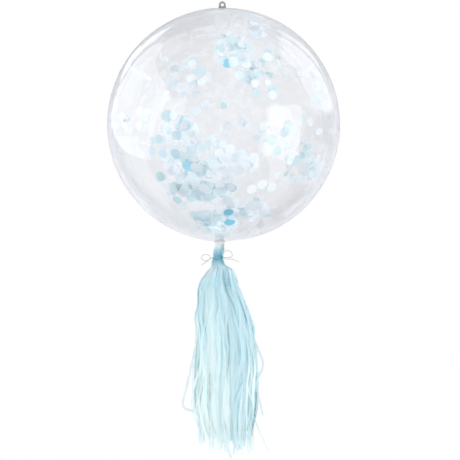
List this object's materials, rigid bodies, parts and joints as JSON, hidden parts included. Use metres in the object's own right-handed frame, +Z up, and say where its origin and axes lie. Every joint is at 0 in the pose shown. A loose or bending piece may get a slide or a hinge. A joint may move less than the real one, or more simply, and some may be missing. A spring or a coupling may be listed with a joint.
{
  "type": "clear bubble balloon with tissue tassel",
  "caption": "Clear round bubble balloon with tissue confetti sealed inside, a small hanging eye on its crown and a pale blue tissue tassel tied with a string bow to its gathered neck.",
  "frame": {"origin": "top of the hanging eye's bore, where a hook or a line bears", "axes": "+Z up, from the tassel to the eye; front, where the bow is tied, towards -Y; the eye's bore runs along Y"},
  "size_m": [0.457, 0.457, 0.8943],
  "materials": {
    "clear_film": "clear stretched film, glossy",
    "moulded_plastic": "moulded, smoky clear, satin",
    "blue_tissue": "crumpled tissue paper, matt, thin enough to let light through",
    "string": "thin twisted string, matt"
  },
  "bodies": {
    "root": {"balloon": "clear_film", "hanging_loop": "moulded_plastic", "tassel": "blue_tissue", "string_binding": "string", "bow_left": "string", "bow_right": "string"}
  },
  "joints": []
}
